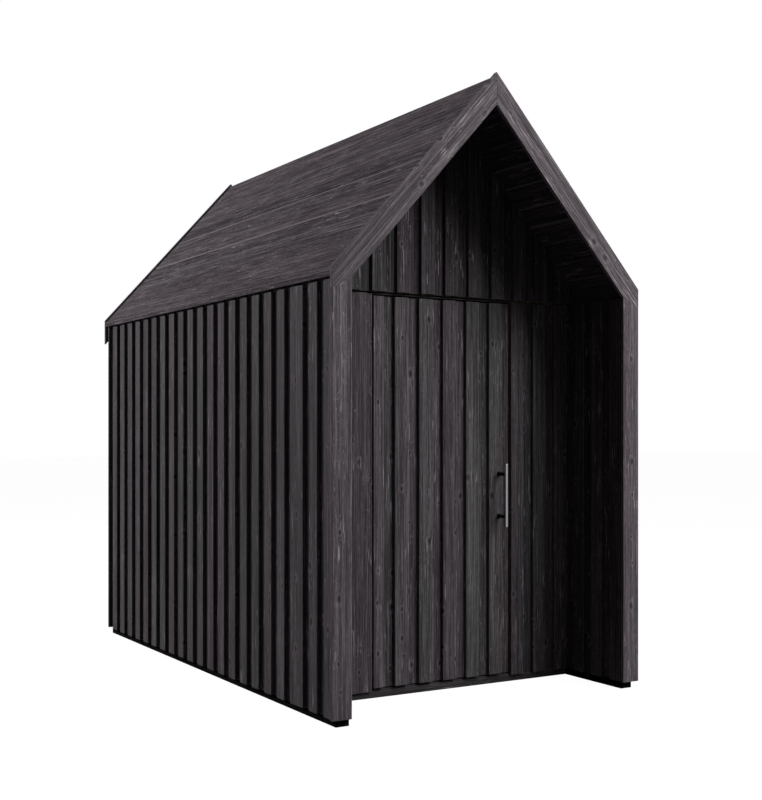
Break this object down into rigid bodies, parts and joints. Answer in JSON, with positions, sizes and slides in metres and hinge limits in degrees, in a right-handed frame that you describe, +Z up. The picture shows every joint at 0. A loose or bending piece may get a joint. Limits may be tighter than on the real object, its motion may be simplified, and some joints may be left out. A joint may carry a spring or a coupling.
{
  "type": "garden shed",
  "caption": "Gabled timber shed with charcoal board-on-board cladding, a porch recess in front, a flush plank door on a side hinge and a steel bar handle",
  "frame": {"origin": "on the ground at the middle of the plan", "axes": "+Z up, front with the door towards -Y, +X to the right seen from the front"},
  "size_m": [1.81, 3.19, 3.07],
  "materials": {
    "stained_boards": "charcoal stain, open grain, matt",
    "trim_boards": "charcoal stain, open grain, matt",
    "roof_boards": "charcoal stain, matt",
    "base_timber": "black stain, matt",
    "raw_timber": "planed, untreated",
    "brushed_bar": "brushed lengthwise",
    "black_metal": "satin black"
  },
  "bodies": {
    "shed": {"sill_left": "base_timber", "sill_right": "base_timber", "sill_rear": "base_timber", "sill_front": "base_timber", "floor_deck": "raw_timber", "threshold": "base_timber", "left_wall": "raw_timber", "right_wall": "raw_timber", "rear_wall": "raw_timber", "front_wall_left": "raw_timber", "front_wall_right": "raw_timber", "front_gable_wall": "raw_timber", "left_wing_wall": "stained_boards", "right_wing_wall": "stained_boards", "left_wing_lining": "stained_boards", "right_wing_lining": "stained_boards", "left_cladding": "stained_boards", "right_cladding": "stained_boards", "rear_cladding": "stained_boards", "front_cladding_left": "stained_boards", "front_cladding_right": "stained_boards", "gable_cladding": "stained_boards", "left_jamb": "stained_boards", "right_jamb": "stained_boards", "door_head": "stained_boards", "head_strip": "black_metal", "left_roof": "roof_boards", "right_roof": "roof_boards", "left_fascia": "trim_boards", "right_fascia": "trim_boards", "front_left_post": "trim_boards", "front_right_post": "trim_boards", "front_left_rake": "trim_boards", "front_right_rake": "trim_boards", "rear_left_bargeboard": "trim_boards", "rear_right_bargeboard": "trim_boards", "hinge_pintles": "black_metal"},
    "door": {"door_panel": "raw_timber", "door_boards": "stained_boards", "handle_bar": "brushed_bar", "handle_posts": "black_metal", "hinge_gudgeons": "black_metal"}
  },
  "joints": [
    {"name": "door_hinge", "type": "hinge", "parent": "shed", "child": "door", "pos_m": [-0.4245, -1.133, 1.029], "axis": [0, 0, -1], "range_deg": [0, 95]}
  ]
}
